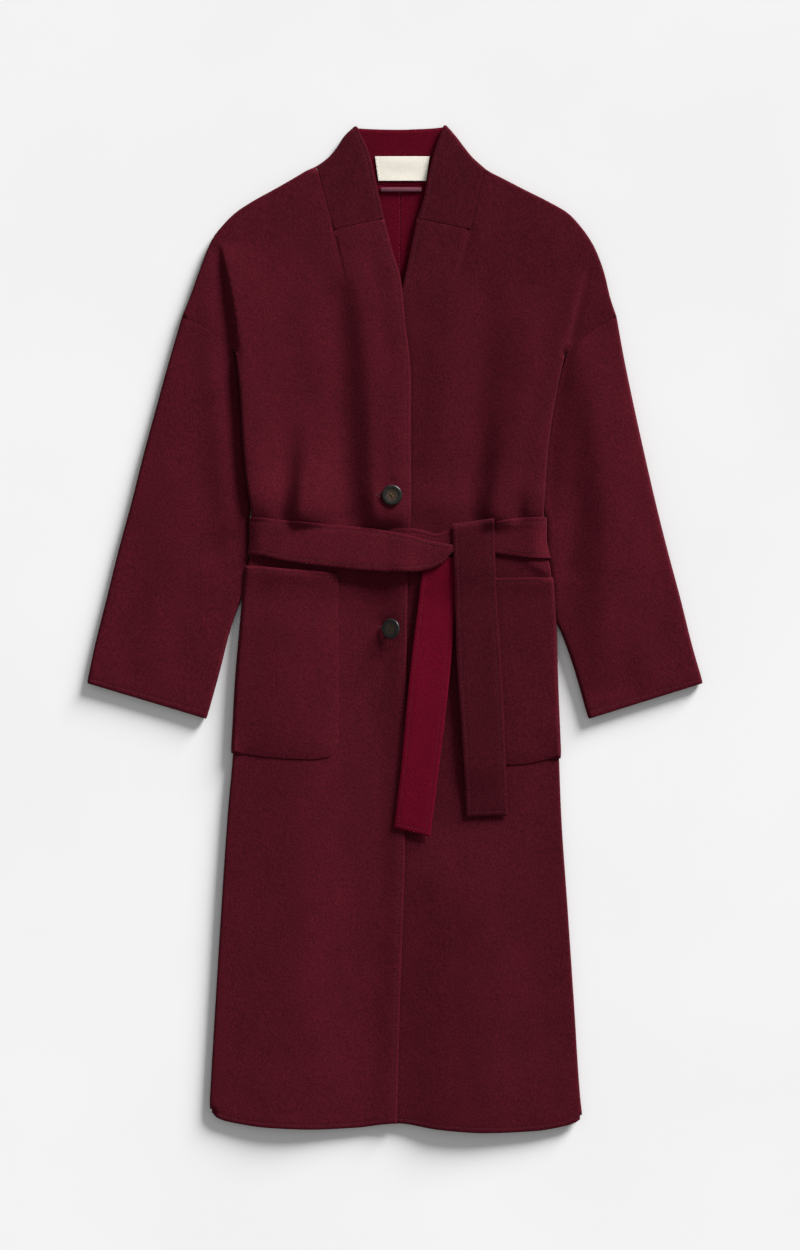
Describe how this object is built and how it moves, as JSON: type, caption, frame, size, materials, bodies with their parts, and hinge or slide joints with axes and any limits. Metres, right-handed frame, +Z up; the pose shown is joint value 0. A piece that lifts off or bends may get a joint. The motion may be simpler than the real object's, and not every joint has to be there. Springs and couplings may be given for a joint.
{
  "type": "belted wool coat",
  "caption": "Long belted coat in burgundy double-faced wool with a stand collar, dropped shoulders, patch pockets and horn buttons, laid flat",
  "frame": {"origin": "centre of the coat's outline, on the surface it lies on", "axes": "+X to the viewer's right, which is the wearer's left; +Y from hem to collar; +Z up from the surface, out of the front"},
  "size_m": [0.7198, 1.1763, 0.0259],
  "materials": {
    "wool": "felted double-faced wool, dark burgundy, short nap",
    "wool_reverse": "felted double-faced wool, crimson reverse",
    "horn": "dark horn, satin polish",
    "label_cloth": "cream woven satin, blank",
    "loop_tape": "mauve woven tape"
  },
  "bodies": {
    "root": {"back_right": "wool", "back_left": "wool", "front_right": "wool", "front_left": "wool", "sleeve_right": "wool", "sleeve_left": "wool", "pocket_right": "wool", "pocket_left": "wool", "collar": "wool", "belt_waist_right": "wool", "belt_waist_left": "wool", "belt_back": "wool", "belt_knot": "wool", "belt_tail_over": "wool", "belt_tail_under": "wool_reverse", "button_upper": "horn", "button_lower": "horn", "neck_label": "label_cloth", "hanger_loop": "loop_tape"}
  },
  "joints": []
}
